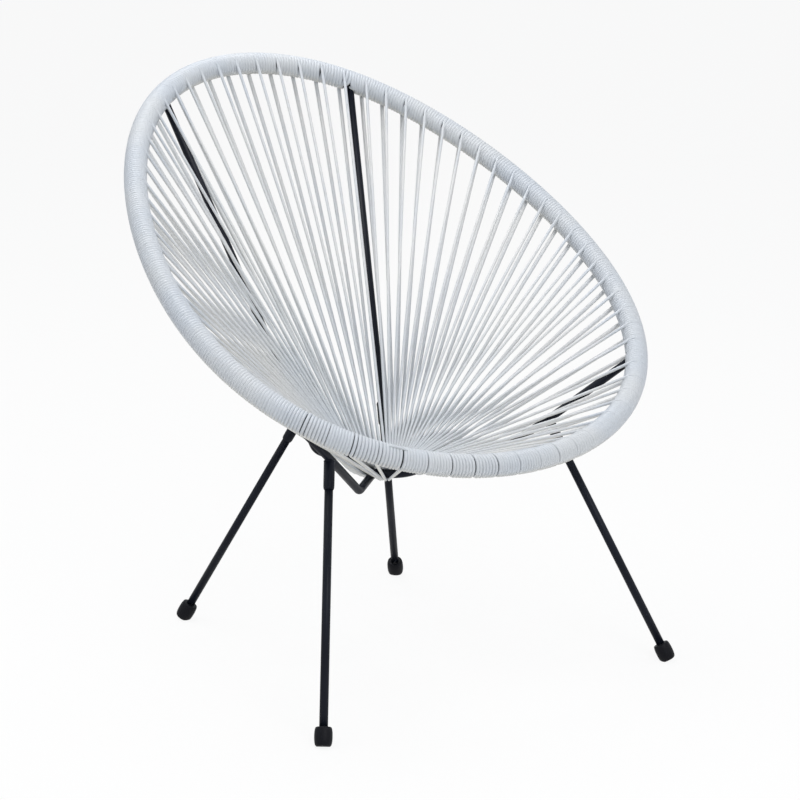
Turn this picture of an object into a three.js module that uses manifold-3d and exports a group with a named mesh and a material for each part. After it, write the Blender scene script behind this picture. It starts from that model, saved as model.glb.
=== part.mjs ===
// Acapulco chair, in millimetres: +Z up, the front towards -Y, standing on Z = 0, alike left and right.
// An egg-shaped steel hoop carries the bowl. Two side rods and two back struts, all of one round bar,
// join it to four splayed legs and to a small ring under the seat. Plastic cord is wound round the whole
// hoop and strung from it to the ring, one strand from the hoop's seat side and one from its underside.

import * as THREE from "three";
import { mergeVertices } from "three/addons/utils/BufferGeometryUtils.js";
import Module from "manifold-3d";

const wasm = await Module();
wasm.setup();

const degree = Math.PI / 180;
const fullTurn = 2 * Math.PI;
const sides = [{ name: "left", sign: -1 }, { name: "right", sign: 1 }];

// Clearances between pieces that touch on the real chair
const fitGap = 0.3;
const weldTolerance = 0.001;

// Hoop: a tilted egg of thin round tube, widest behind its middle
const hoopHalfWidth = 366.3;
const hoopHalfLength = 423.3;
const hoopTilt = 31.75 * degree;
const hoopCentreY = 30.3;
const hoopCentreZ = 601.4;
const hoopWidthShares = [0.9517, 0.3028, 0.0637];
const hoopLengthShares = [1.0088, 0.0842, -0.0088];
const hoopTubeRadius = 12.5;
const hoopWall = 1.5;
const drainHoleRadius = 2.5;
const hoopSteps = 64;
const hoopSides = 12;

// Round bar of the rods, struts, seat ring and legs
const barRadius = 6;
const barSides = 12;
const bendSteps = 4;

// Seat ring, a little higher at the back
const ringRadius = 54;
const ringTilt = 5 * degree;
const ringCentreY = -39.5;
const ringCentreZ = 278;
const ringSides = 10;
const ringSteps = 40;

// Where the rods and struts meet the hoop, as shares of its length from its front middle
const rodPlaceShare = 0.1439;
const strutPlaceShare = 0.4271;

// Joints and bends of the right-hand rod and strut
const frontJoint = new THREE.Vector3(195.3, -172.7, 345.3);
const rodBend = new THREE.Vector3(99.7, -113.9, 267.3);
const rodBendRadius = 18;
const rearJoint = new THREE.Vector3(73.8, 72.4, 329.3);
const strutBendRadius = 20;

// Legs, sockets and foot caps
const frontFoot = new THREE.Vector3(306.3, -330.3, 13);
const rearFoot = new THREE.Vector3(196, 187.5, 13);
const legSetback = 13;
const socketSetback = 3;
const socketLength = 44;
const socketWall = 1.45;
const socketTaper = 6;
const socketTipShare = 0.45;
const socketSides = 16;
const capRadius = 12.5;
const capLength = 26;
const capBoreDepth = 18;
const capSides = 20;
const capOutlineShares = [[0.84, 0], [0.92, 0.06], [1, 0.36], [1, 0.62], [0.93, 0.88], [0.76, 1]];

// Cord: its turns on the hoop, and the strands between hoop and ring
const cordDiameter = 4.5;
const windingSides = 8;
const ribPitch = 31;
const ribDepthShare = 0.25;
const strandWidthShare = 0.84;
const strandRingWidthShare = 0.5;
const strandLap = 35 * degree;
const packArcSteps = 4;
const pairsPerPiece = 5;
const sideHoopEdge = 24;
const frontHoopEdge = 29.8;
const backHoopEdge = 13;
const ringEdge = 8.8;

// Finishes
const powderCoat = { color: 0x1c1d22, roughness: 0.5, metalness: 0.2 };
const paleCord = { color: 0xd2d7db, roughness: 0.45, metalness: 0 };
const footPlastic = { color: 0x17171a, roughness: 0.6, metalness: 0 };

// Chair frame of the hoop's plane

const seatNormal = new THREE.Vector3(0, -Math.sin(hoopTilt), Math.cos(hoopTilt));
const ringAxis = new THREE.Vector3(0, -Math.sin(ringTilt), Math.cos(ringTilt));
const ringCentre = new THREE.Vector3(0, ringCentreY, ringCentreZ);

// Point of the hoop's centre line, from 0 at the front middle, by the right, to half a turn at the back
function hoopPoint(angle) {
  const turn = Math.cos(angle);
  const width = hoopWidthShares.reduce((sum, share, power) => sum + share * turn ** power, 0);
  const length = hoopLengthShares.reduce((sum, share, i) => sum + share * Math.cos((i + 1) * angle), 0);
  const across = hoopHalfWidth * Math.sin(angle) * width;
  const along = -hoopHalfLength * length;
  const y = hoopCentreY + along * Math.cos(hoopTilt);
  const z = hoopCentreZ + along * Math.sin(hoopTilt);
  return new THREE.Vector3(across, y, z);
}

// Table of lengths along the hoop, to find the angle of a place measured along its centre line
const lengthSamples = 2880;
const hoopLengths = [0];
for (let i = 1; i <= lengthSamples; i++) {
  const before = hoopPoint(((i - 1) * fullTurn) / lengthSamples);
  const here = hoopPoint((i * fullTurn) / lengthSamples);
  hoopLengths.push(hoopLengths[i - 1] + here.distanceTo(before));
}
const hoopLength = hoopLengths[lengthSamples];
const rodPlace = rodPlaceShare * hoopLength;
const strutPlace = strutPlaceShare * hoopLength;

function hoopAngleAt(place) {
  const wrapped = ((place % hoopLength) + hoopLength) % hoopLength;
  let low = 0;
  let high = lengthSamples;
  while (high - low > 1) {
    const middle = Math.floor((low + high) / 2);
    if (hoopLengths[middle] > wrapped) high = middle;
    else low = middle;
  }
  const part = (wrapped - hoopLengths[low]) / (hoopLengths[high] - hoopLengths[low]);
  return ((low + part) * fullTurn) / lengthSamples;
}

// Centre, direction and outward side of the hoop at an angle
function hoopFrameAt(angle) {
  const halfStep = fullTurn / lengthSamples;
  const centre = hoopPoint(angle);
  const tangent = hoopPoint(angle + halfStep).sub(hoopPoint(angle - halfStep)).normalize();
  const outward = new THREE.Vector3().crossVectors(tangent, seatNormal).normalize();
  return { centre, tangent, outward };
}

function hoopFrame(place) {
  return hoopFrameAt(hoopAngleAt(place));
}

// Point of the seat ring's centre line, from 0 at its front, and the directions there
function ringFrame(azimuth) {
  const back = new THREE.Vector3(0, Math.cos(ringTilt), Math.sin(ringTilt));
  const outward = new THREE.Vector3(Math.sin(azimuth), 0, 0).addScaledVector(back, -Math.cos(azimuth));
  const tangent = new THREE.Vector3(Math.cos(azimuth), 0, 0).addScaledVector(back, Math.sin(azimuth));
  const centre = ringCentre.clone().addScaledVector(outward, ringRadius);
  return { centre, tangent, outward };
}

function mirrored(point, sign) {
  return new THREE.Vector3(point.x * sign, point.y, point.z);
}

// Corner radius of a polygon whose flats stand at the given radius
function aroundRadius(radius, count) {
  return radius / Math.cos(Math.PI / count);
}

// Solids and meshes

function toSolid(geometry) {
  const bare = geometry.clone();
  bare.deleteAttribute("normal");
  bare.deleteAttribute("uv");
  const welded = mergeVertices(bare, weldTolerance);
  const vertProperties = new Float32Array(welded.attributes.position.array);
  const triVerts = new Uint32Array(welded.index.array);
  return new wasm.Manifold(new wasm.Mesh({ numProp: 3, vertProperties, triVerts }));
}

function toGeometry(solid) {
  const mesh = solid.getMesh();
  const geometry = new THREE.BufferGeometry();
  geometry.setAttribute("position", new THREE.BufferAttribute(mesh.vertProperties, 3));
  geometry.setIndex(new THREE.BufferAttribute(mesh.triVerts, 1));
  geometry.computeVertexNormals();
  return geometry;
}

function namedMesh(name, geometry, finish) {
  const mesh = new THREE.Mesh(geometry, new THREE.MeshStandardMaterial(finish));
  mesh.name = name;
  return mesh;
}

// Section of a body round the hoop at an angle
function hoopRing(angle, radius, count) {
  const { centre, outward } = hoopFrameAt(angle);
  const ring = [];
  for (let i = 0; i < count; i++) {
    const turn = (i * fullTurn) / count;
    const point = centre.clone().addScaledVector(seatNormal, radius * Math.cos(turn));
    ring.push(point.addScaledVector(outward, radius * Math.sin(turn)));
  }
  return ring;
}

// Turns a piece made along +Y from its origin so that it runs from a start in a direction
function layAlong(piece, start, direction) {
  const turn = new THREE.Quaternion().setFromUnitVectors(new THREE.Vector3(0, 1, 0), direction);
  piece.position.copy(start);
  piece.quaternion.copy(turn);
  return piece;
}

function laidGeometry(geometry, start, direction) {
  const holder = layAlong(new THREE.Object3D(), start, direction);
  holder.updateMatrix();
  return geometry.applyMatrix4(holder.matrix);
}

// Round rod with flats at its radius, from a start in a direction
function rodAlong(radius, length, count, start, direction) {
  const geometry = new THREE.CylinderGeometry(radius, radius, length, count);
  geometry.translate(0, length / 2, 0);
  return laidGeometry(geometry, start, direction);
}

// Polygon with one corner towards +X
function roundPath(radius, count, PathClass) {
  const points = [];
  for (let i = 0; i < count; i++) {
    const angle = (i * fullTurn) / count;
    points.push(new THREE.Vector2(radius * Math.cos(angle), radius * Math.sin(angle)));
  }
  return new PathClass(points);
}

// Path through chosen stations, so that a sweep has one section at each of them and nowhere else
class StationPath extends THREE.Curve {
  constructor(stations, closed = false) {
    super();
    this.stations = stations;
    this.closed = closed;
  }

  get steps() {
    return this.stations.length - 1;
  }

  getPoint(share, target = new THREE.Vector3()) {
    const place = Math.min(share, 1) * this.steps;
    const low = Math.min(Math.floor(place), this.steps - 1);
    return target.lerpVectors(this.stations[low], this.stations[low + 1], place - low);
  }

  getPointAt(share, target) {
    return this.getPoint(share, target);
  }

  getTangentAt(share, target = new THREE.Vector3()) {
    const here = Math.round(share * this.steps);
    const last = this.steps;
    const beforeStart = this.closed ? last - 1 : 0;
    const afterEnd = this.closed ? 1 : last;
    const before = this.stations[here > 0 ? here - 1 : beforeStart];
    const after = this.stations[here < last ? here + 1 : afterEnd];
    return target.copy(after).sub(before).normalize();
  }
}

function swept(shape, path) {
  return new THREE.ExtrudeGeometry(shape, { steps: path.steps, extrudePath: path, curveSegments: 1 });
}

// Walls of a sweep that closes on itself, without the two end lids
function sweptRound(shape, stations) {
  const geometry = swept(shape, new StationPath(stations, true));
  const walls = geometry.groups[1];
  const position = geometry.attributes.position.array;
  const kept = position.slice(walls.start * 3, (walls.start + walls.count) * 3);
  const bare = new THREE.BufferGeometry();
  bare.setAttribute("position", new THREE.BufferAttribute(kept, 3));
  return bare;
}

// Stations of a round bend at a corner
function bendStations(before, corner, after, radius) {
  const incoming = corner.clone().sub(before).normalize();
  const outgoing = after.clone().sub(corner).normalize();
  const turn = incoming.angleTo(outgoing);
  const start = corner.clone().addScaledVector(incoming, -radius * Math.tan(turn / 2));
  const axis = new THREE.Vector3().crossVectors(incoming, outgoing).normalize();
  const inward = new THREE.Vector3().crossVectors(axis, incoming);
  const centre = start.clone().addScaledVector(inward, radius);
  const stations = [];
  for (let i = 0; i <= bendSteps; i++) {
    const spoke = start.clone().sub(centre);
    spoke.applyAxisAngle(axis, (turn * i) / bendSteps);
    stations.push(centre.clone().add(spoke));
  }
  return stations;
}

// Steel hoop, with the hole at its lowest point that drains the bore

function hoopTube() {
  const section = roundPath(hoopTubeRadius, hoopSides, THREE.Shape);
  section.holes.push(roundPath(hoopTubeRadius - hoopWall, hoopSides, THREE.Path));
  const stations = [];
  for (let i = 0; i <= hoopSteps; i++) {
    stations.push(hoopPoint(((i % hoopSteps) * fullTurn) / hoopSteps));
  }
  const tube = toSolid(sweptRound(section, stations));
  const lowest = hoopFrame(0);
  const hole = rodAlong(drainHoleRadius, 2 * hoopTubeRadius, windingSides, lowest.centre, lowest.outward);
  return toGeometry(tube.subtract(toSolid(hole)));
}

// Room that a coped bar leaves round the hoop and round the ring

function hoopRoom(count) {
  const radius = aroundRadius(hoopTubeRadius + fitGap, count);
  const sections = [];
  for (let i = 0; i < hoopSteps; i++) sections.push(hoopRing((i * fullTurn) / hoopSteps, radius, count));
  return toSolid(loftGeometry(sections, sectionWalls(sections.length, count, true)));
}

function ringRoom() {
  const radius = aroundRadius(barRadius + fitGap, 2 * ringSides);
  const geometry = new THREE.TorusGeometry(ringRadius, radius, 2 * ringSides, 2 * ringSteps);
  geometry.rotateX(ringTilt);
  geometry.translate(0, ringCentreY, ringCentreZ);
  return toSolid(geometry);
}

// Azimuth round the ring of a point seen from its centre
function azimuthOf(point) {
  return Math.atan2(point.x, ringCentre.y - point.y);
}

// Where the strut's straight run, carried on past the rear joint, comes level with the ring
function strutBend() {
  const top = hoopFrame(strutPlace).centre;
  const run = rearJoint.clone().sub(top);
  return rearJoint.clone().addScaledVector(run, (ringCentreZ - rearJoint.z) / run.z);
}

const rodAzimuth = azimuthOf(rodBend);
const strutAzimuth = azimuthOf(strutBend());

function barSection() {
  return roundPath(barRadius, barSides, THREE.Shape);
}

// Bar from the hoop, through its joint and bend, straight in to the ring, coped at both ends
function copedBar(place, joint, bend, bendRadius, azimuth, sign) {
  const top = hoopFrame(place * sign).centre;
  const knee = mirrored(joint, sign);
  const corner = mirrored(bend, sign);
  const foot = ringFrame(azimuth * sign).centre;
  const stations = [top, knee, ...bendStations(knee, corner, foot, bendRadius), foot];
  const bar = toSolid(swept(barSection(), new StationPath(stations)));
  return toGeometry(bar.subtract(hoopRoom(hoopSides)).subtract(ringRoom()));
}

function sideRod(sign) {
  return copedBar(rodPlace, frontJoint, rodBend, rodBendRadius, rodAzimuth, sign);
}

function backStrut(sign) {
  return copedBar(strutPlace, rearJoint, strutBend(), strutBendRadius, strutAzimuth, sign);
}

function seatRing() {
  const geometry = new THREE.TorusGeometry(ringRadius, barRadius, ringSides, ringSteps);
  const mesh = namedMesh("seat_ring", geometry, powderCoat);
  mesh.position.copy(ringCentre);
  mesh.rotation.x = ringTilt;
  return mesh;
}

// Legs, with a socket at the joint and a cap at the floor

const legs = [
  { name: "front", joint: frontJoint, foot: frontFoot, bars: [hoopFrame(rodPlace).centre, rodBend] },
  { name: "rear", joint: rearJoint, foot: rearFoot, bars: [hoopFrame(strutPlace).centre, strutBend()] },
];

// Room round the bar that the socket straddles, on both sides of the joint
function jointRoom(joint, ends) {
  const radius = aroundRadius(barRadius + fitGap, barSides);
  const rooms = ends.map((end) => {
    const run = end.clone().sub(joint);
    return toSolid(rodAlong(radius, socketLength, barSides, joint, run.normalize()));
  });
  return rooms[0].add(rooms[1]);
}

function legSocket(joint, foot, ends) {
  const bore = aroundRadius(barRadius + fitGap, socketSides);
  const outer = bore + socketWall;
  const tip = bore + socketWall * socketTipShare;
  const profile = [
    new THREE.Vector2(bore, socketSetback),
    new THREE.Vector2(outer, socketSetback),
    new THREE.Vector2(outer, socketLength - socketTaper),
    new THREE.Vector2(tip, socketLength),
    new THREE.Vector2(bore, socketLength),
    new THREE.Vector2(bore, socketSetback),
  ];
  const direction = foot.clone().sub(joint).normalize();
  const socket = toSolid(laidGeometry(new THREE.LatheGeometry(profile, socketSides), joint, direction));
  return toGeometry(socket.subtract(jointRoom(joint, ends)));
}

// The leg's end stands on the bottom of the cap's bore
function legLength(joint, foot) {
  return joint.distanceTo(foot) - capLength / 2 + capBoreDepth - fitGap;
}

function legBar(name, joint, foot) {
  const length = legLength(joint, foot) - legSetback;
  const geometry = new THREE.CylinderGeometry(barRadius, barRadius, length, barSides);
  geometry.translate(0, length / 2, 0);
  const direction = foot.clone().sub(joint).normalize();
  const start = joint.clone().addScaledVector(direction, legSetback);
  return layAlong(namedMesh(name, geometry, powderCoat), start, direction);
}

// Barrel-shaped cap, cut flat where it stands on the floor
function footCap(joint, foot) {
  const bore = aroundRadius(barRadius + fitGap, capSides);
  const profile = [new THREE.Vector2(0, capBoreDepth), new THREE.Vector2(bore, capBoreDepth)];
  profile.push(new THREE.Vector2(bore, 0));
  for (const [radiusShare, lengthShare] of capOutlineShares) {
    profile.push(new THREE.Vector2(capRadius * radiusShare, capLength * lengthShare));
  }
  profile.push(new THREE.Vector2(0, capLength));
  const direction = foot.clone().sub(joint).normalize();
  const top = foot.clone().addScaledVector(direction, -capLength / 2);
  const cap = toSolid(laidGeometry(new THREE.LatheGeometry(profile, capSides), top, direction));
  const ground = new THREE.BoxGeometry(2 * capLength, 2 * capLength, 2 * capLength);
  ground.translate(foot.x, foot.y, -capLength);
  return toGeometry(cap.subtract(toSolid(ground)));
}

// Lofts: bodies through a row of sections with as many points each

// Joins each section to the next, and the last to the first where the body closes on itself
function sectionWalls(count, size, closed) {
  const index = [];
  const rows = closed ? count : count - 1;
  for (let row = 0; row < rows; row++) {
    for (let i = 0; i < size; i++) {
      const next = (i + 1) % size;
      const here = row * size;
      const there = ((row + 1) % count) * size;
      index.push(here + i, here + next, there + next);
      index.push(here + i, there + next, there + i);
    }
  }
  return index;
}

function loftGeometry(sections, index) {
  const geometry = new THREE.BufferGeometry();
  geometry.setFromPoints(sections.flat());
  geometry.setIndex(index);
  return geometry;
}

// Loft closed by a lid at each end; the outline is the section in its own plane
function liddedLoft(sections, outline) {
  const size = outline.length;
  const index = sectionWalls(sections.length, size, false);
  const last = (sections.length - 1) * size;
  for (const [a, b, c] of THREE.ShapeUtils.triangulateShape(outline, [])) {
    index.push(a, c, b);
    index.push(last + a, last + b, last + c);
  }
  return loftGeometry(sections, index);
}

// Cord wound on the hoop: a sleeve whose ribs stand for the turns, with a bore round the tube

// Room round the end of the bar that leaves the hoop at a place
function barRoom(place) {
  const sign = Math.sign(place);
  const joint = Math.abs(place) === rodPlace ? frontJoint : rearJoint;
  const top = hoopFrame(place).centre;
  const direction = mirrored(joint, sign).sub(top).normalize();
  const radius = aroundRadius(barRadius + fitGap, barSides);
  return toSolid(rodAlong(radius, 3 * hoopTubeRadius, barSides, top, direction));
}

function rimWinding(bay) {
  const from = bay.from + fitGap / 2;
  const length = bayLength(bay) - fitGap;
  const ribs = Math.round(length / ribPitch);
  const crest = hoopTubeRadius + cordDiameter;
  const valley = crest - cordDiameter * ribDepthShare;
  const sections = [];
  for (let half = 0; half <= 2 * ribs; half++) {
    const angle = hoopAngleAt(from + (half * length) / (2 * ribs));
    sections.push(hoopRing(angle, half % 2 === 0 ? valley : crest, windingSides));
  }
  const sleeve = toSolid(liddedLoft(sections, roundPath(crest, windingSides, THREE.Path).getPoints()));
  const wound = sleeve.subtract(hoopRoom(windingSides));
  return toGeometry(wound.subtract(barRoom(bay.from)).subtract(barRoom(bay.to)));
}

function bayLength(bay) {
  return (bay.to - bay.from + hoopLength) % hoopLength;
}

// Strands: each leaves the wound hoop and meets the ring along a tangent of both

// Direction across the strand at each end, on the seat side
function strandSides(pair) {
  const hoop = hoopFrame(pair.hoopPlace);
  const ring = ringFrame(pair.ringPlace);
  const along = ring.centre.clone().sub(hoop.centre).normalize();
  const hoopUp = new THREE.Vector3().crossVectors(hoop.tangent, along).normalize();
  if (hoopUp.dot(seatNormal) < 0) hoopUp.negate();
  const ringUp = new THREE.Vector3().crossVectors(ring.tangent, along).normalize();
  if (ringUp.dot(ringAxis) < 0) ringUp.negate();
  return { hoop, ring, along, hoopUp, ringUp };
}

// Corners of a strand's section at the hoop, counter-clockwise for a sweep away from the ring
function strandSection(foot, across, up) {
  const half = (cordDiameter * strandWidthShare) / 2;
  const corners = [[-half, 0], [half, 0], [half, cordDiameter], [-half, cordDiameter]];
  return corners.map(([x, y]) => foot.clone().addScaledVector(across, x).addScaledVector(up, y));
}

// Hoop end of a strand on the seat side (face 1), which laps over the winding, or the underside (face -1)
function strandSections(pair, face) {
  const { hoop, along, hoopUp } = strandSides(pair);
  const reach = hoopTubeRadius + cordDiameter + fitGap;
  const up = hoopUp.clone().multiplyScalar(face);
  const across = new THREE.Vector3().crossVectors(along, up).normalize();
  const foot = (side, distance) => hoop.centre.clone().addScaledVector(side, distance);
  if (face < 0) return [strandSection(foot(up, reach), across, up)];
  const away = new THREE.Vector3().crossVectors(up, hoop.tangent).normalize();
  if (away.dot(along) > 0) away.negate();
  const leaning = (turn) => {
    return up.clone().multiplyScalar(Math.cos(turn)).addScaledVector(away, Math.sin(turn));
  };
  const shoulderUp = leaning(strandLap / 2);
  const endUp = leaning(strandLap);
  const shoulder = foot(shoulderUp, reach / Math.cos(strandLap / 2));
  return [strandSection(shoulder, across, shoulderUp), strandSection(foot(endUp, reach), across, endUp)];
}

// Lean of a pair's section at the ring, from the ring's axis towards its middle
function ringSlope(pair) {
  const { ring, ringUp } = strandSides(pair);
  return Math.atan2(-ringUp.dot(ring.outward), ringUp.dot(ringAxis));
}

// Outline of the pack of turns round the inside of the ring; it stops short where no strand lies below
function packOutline(slope, doubled) {
  const inner = aroundRadius(barRadius + fitGap, 2 * packArcSteps);
  const outer = barRadius + fitGap + cordDiameter;
  const arc = doubled ? Math.PI : Math.PI * (1 - 1 / packArcSteps);
  const outline = [];
  for (let i = 0; i <= packArcSteps; i++) {
    const angle = slope + (i * arc) / packArcSteps;
    outline.push(new THREE.Vector2(inner * Math.sin(angle), inner * Math.cos(angle)));
  }
  for (let i = packArcSteps; i >= 0; i--) {
    const angle = slope + (i * arc) / packArcSteps;
    outline.push(new THREE.Vector2(outer * Math.sin(angle), outer * Math.cos(angle)));
  }
  return outline;
}

function packSection(azimuth, outline) {
  const ring = ringFrame(azimuth);
  return outline.map((point) => {
    return ring.centre.clone().addScaledVector(ring.outward, -point.x).addScaledVector(ringAxis, point.y);
  });
}

function pushQuad(index, a, b, c, d) {
  index.push(a, b, c, a, c, d);
}

// Splits a twisted four-cornered face along its shorter diagonal, which keeps a strand's sides full
function pushTwistedQuad(index, points, a, b, c, d) {
  if (points[a].distanceTo(points[c]) <= points[b].distanceTo(points[d])) pushQuad(index, a, b, c, d);
  else pushQuad(index, b, c, d, a);
}

// Grows a strand out of four corners of the pack, section by section, and closes it at the hoop
function growStrand(points, index, corners, sections) {
  let base = corners;
  for (const section of sections) {
    const loop = section.map((point) => points.push(point) - 1);
    for (let i = 0; i < loop.length; i++) {
      const next = (i + 1) % loop.length;
      pushTwistedQuad(index, points, base[i], base[next], loop[next], loop[i]);
    }
    base = loop;
  }
  pushQuad(index, ...base);
}

// One piece of the net: neighbouring strands that grow out of the pack of their turns round the ring
function strandPiece(pairs) {
  const doubled = pairs.every((pair) => pair.doubled);
  const halfTurn = (cordDiameter * strandRingWidthShare) / 2 / ringRadius;
  const outlines = pairs.flatMap((pair) => {
    const outline = packOutline(ringSlope(pair), doubled);
    return [outline, outline];
  });
  const sections = outlines.map((outline, i) => {
    const pair = pairs[Math.floor(i / 2)];
    return packSection(pair.ringPlace + (i % 2 === 0 ? -halfTurn : halfTurn), outline);
  });
  const points = sections.flat();
  const size = outlines[0].length;
  const top = size - 1;
  const under = packArcSteps;
  const index = [];
  for (let row = 0; row < sections.length - 1; row++) {
    const strandsHere = row % 2 === 0;
    for (let i = 0; i < size; i++) {
      const open = i === top || (doubled && i === under);
      if (strandsHere && open) continue;
      const here = row * size;
      const next = (i + 1) % size;
      pushQuad(index, here + i, here + next, here + size + next, here + size + i);
    }
  }
  const last = (sections.length - 1) * size;
  for (const [a, b, c] of THREE.ShapeUtils.triangulateShape(outlines[0], [])) {
    index.push(a, c, b);
  }
  for (const [a, b, c] of THREE.ShapeUtils.triangulateShape(outlines[outlines.length - 1], [])) {
    index.push(last + a, last + b, last + c);
  }
  pairs.forEach((pair, number) => {
    const left = 2 * number * size;
    const right = left + size;
    growStrand(points, index, [left, right, right + top, left + top], strandSections(pair, 1));
    const below = [right + under, left + under, left + under + 1, right + under + 1];
    if (doubled) growStrand(points, index, below, strandSections(pair, -1));
  });
  const geometry = loftGeometry([points], index);
  geometry.computeVertexNormals();
  return geometry;
}

// Bays of cord between the bars: their ends on the hoop and the ring, how many pairs of strands they
// hold, how far the outer pairs stand from the bars, and how many at each end have a lower strand too
const bays = [
  {
    name: "front", pairs: 20, doubled: 5, hoopEdge: frontHoopEdge,
    from: -rodPlace, to: rodPlace, ringFrom: -rodAzimuth, ringTo: rodAzimuth,
  },
  {
    name: "right", pairs: 20, doubled: 20, hoopEdge: sideHoopEdge,
    from: rodPlace, to: strutPlace, ringFrom: rodAzimuth, ringTo: strutAzimuth,
  },
  {
    name: "back", pairs: 10, doubled: 10, hoopEdge: backHoopEdge,
    from: strutPlace, to: -strutPlace, ringFrom: strutAzimuth, ringTo: fullTurn - strutAzimuth,
  },
  {
    name: "left", pairs: 20, doubled: 20, hoopEdge: sideHoopEdge,
    from: -strutPlace, to: -rodPlace, ringFrom: -strutAzimuth, ringTo: -rodAzimuth,
  },
];

// Hoop place and ring azimuth of each pair of a bay
function bayPairs(bay) {
  const edge = ringEdge / ringRadius;
  const pairs = [];
  for (let i = 0; i < bay.pairs; i++) {
    const share = i / (bay.pairs - 1);
    const hoopPlace = bay.from + bay.hoopEdge + share * (bayLength(bay) - 2 * bay.hoopEdge);
    const ringPlace = bay.ringFrom + edge + share * (bay.ringTo - bay.ringFrom - 2 * edge);
    const doubled = i < bay.doubled || i >= bay.pairs - bay.doubled;
    pairs.push({ hoopPlace, ringPlace, doubled });
  }
  return pairs;
}

// Assembly

const chair = new THREE.Group();
chair.add(namedMesh("hoop_tube", hoopTube(), powderCoat));
chair.add(seatRing());
for (const { name, sign } of sides) {
  chair.add(namedMesh(`side_rod_${name}`, sideRod(sign), powderCoat));
  chair.add(namedMesh(`back_strut_${name}`, backStrut(sign), powderCoat));
  for (const leg of legs) {
    const joint = mirrored(leg.joint, sign);
    const foot = mirrored(leg.foot, sign);
    const ends = leg.bars.map((end) => mirrored(end, sign));
    const place = `${leg.name}_${name}`;
    chair.add(namedMesh(`leg_socket_${place}`, legSocket(joint, foot, ends), powderCoat));
    chair.add(legBar(`leg_${place}`, joint, foot));
    chair.add(namedMesh(`foot_cap_${place}`, footCap(joint, foot), footPlastic));
  }
}
for (const bay of bays) {
  chair.add(namedMesh(`rim_winding_${bay.name}`, rimWinding(bay), paleCord));
  const pairs = bayPairs(bay);
  for (let first = 0; first < pairs.length; first += pairsPerPiece) {
    const number = first / pairsPerPiece + 1;
    const geometry = strandPiece(pairs.slice(first, first + pairsPerPiece));
    chair.add(namedMesh(`seat_strands_${bay.name}_${number}`, geometry, paleCord));
  }
}

export default chair;
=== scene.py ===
# %% [markdown]
# # An acapulco chair
# The chair is a tilted egg of steel tube, a small steel ring under the seat, and one long plastic cord
# that is wound round the tube and strung between tube and ring. Rods, struts and splayed legs of thin
# round bar carry it. The frame comes from the CAD model, so every piece here is worked out in its
# measures, in metres, with +Z up and the front towards -Y.

import math
import random
from collections import namedtuple

import bmesh
import bpy
from mathutils import Matrix, Quaternion, Vector


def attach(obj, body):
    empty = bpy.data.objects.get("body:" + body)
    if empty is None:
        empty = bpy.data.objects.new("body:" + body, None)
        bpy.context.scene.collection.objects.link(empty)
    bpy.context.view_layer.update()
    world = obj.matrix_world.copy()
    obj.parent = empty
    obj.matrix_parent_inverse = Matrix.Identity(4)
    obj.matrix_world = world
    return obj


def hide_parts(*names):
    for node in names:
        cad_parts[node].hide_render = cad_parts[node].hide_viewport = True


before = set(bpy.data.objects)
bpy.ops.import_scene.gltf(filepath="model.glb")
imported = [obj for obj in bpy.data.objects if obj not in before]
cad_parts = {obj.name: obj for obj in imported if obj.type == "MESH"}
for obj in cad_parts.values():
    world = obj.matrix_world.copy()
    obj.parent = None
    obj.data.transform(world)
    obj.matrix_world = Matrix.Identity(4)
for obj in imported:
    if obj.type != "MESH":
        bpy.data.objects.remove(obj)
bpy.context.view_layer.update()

# %% [markdown]
# ## Driving dimensions
# A reader who changes one of these changes the whole chair, as on a drawing. They are the CAD model's
# own, so that the looks and the solids stay the same size. Measuring the CAD meshes would give them too,
# but a list of sizes is easier to read and to change.

# %% Driving dimensions
MM = 0.001
FULL_TURN = 2 * math.pi

HOOP_HALF_WIDTH = 366.3 * MM
HOOP_HALF_LENGTH = 423.3 * MM
HOOP_TILT = math.radians(31.75)
HOOP_CENTRE = Vector((0, 30.3, 601.4)) * MM
HOOP_WIDTH_SHARES = (0.9517, 0.3028, 0.0637)
HOOP_LENGTH_SHARES = (1.0088, 0.0842, -0.0088)
HOOP_TUBE_RADIUS = 12.5 * MM

BAR_RADIUS = 6 * MM
RING_RADIUS = 54 * MM
RING_TILT = math.radians(5)
RING_CENTRE = Vector((0, -39.5, 278)) * MM

ROD_PLACE_SHARE = 0.1439
STRUT_PLACE_SHARE = 0.4271
FRONT_JOINT = Vector((195.3, -172.7, 345.3)) * MM
REAR_JOINT = Vector((73.8, 72.4, 329.3)) * MM
ROD_BEND = Vector((99.7, -113.9, 267.3)) * MM
ROD_BEND_RADIUS = 18 * MM
STRUT_BEND_RADIUS = 20 * MM
FRONT_FOOT = Vector((306.3, -330.3, 13)) * MM
REAR_FOOT = Vector((196, 187.5, 13)) * MM

CORD_RADIUS = 2.25 * MM
SIDES = {"left": -1, "right": 1}
random.seed(12)
print("bars of", 2 * BAR_RADIUS, "m and cord of", 2 * CORD_RADIUS, "m")

# %% [markdown]
# ## The hoop's line
# The tube is bent to an egg, wider behind its middle than in front. A spline through points would do,
# but a few cosines draw it as smoothly and need no points. Places along it are measured as lengths from
# the front middle, because the cord's turns are spaced by length.

# %% The hoop's line
SEAT_NORMAL = Vector((0, -math.sin(HOOP_TILT), math.cos(HOOP_TILT)))
LENGTH_SAMPLES = 2880


def hoop_point(angle):
    turn = math.cos(angle)
    width = sum(share * turn**power for power, share in enumerate(HOOP_WIDTH_SHARES))
    length = sum(share * math.cos((i + 1) * angle) for i, share in enumerate(HOOP_LENGTH_SHARES))
    along = -HOOP_HALF_LENGTH * length
    across = HOOP_HALF_WIDTH * math.sin(angle) * width
    return HOOP_CENTRE + Vector((across, along * math.cos(HOOP_TILT), along * math.sin(HOOP_TILT)))


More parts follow.
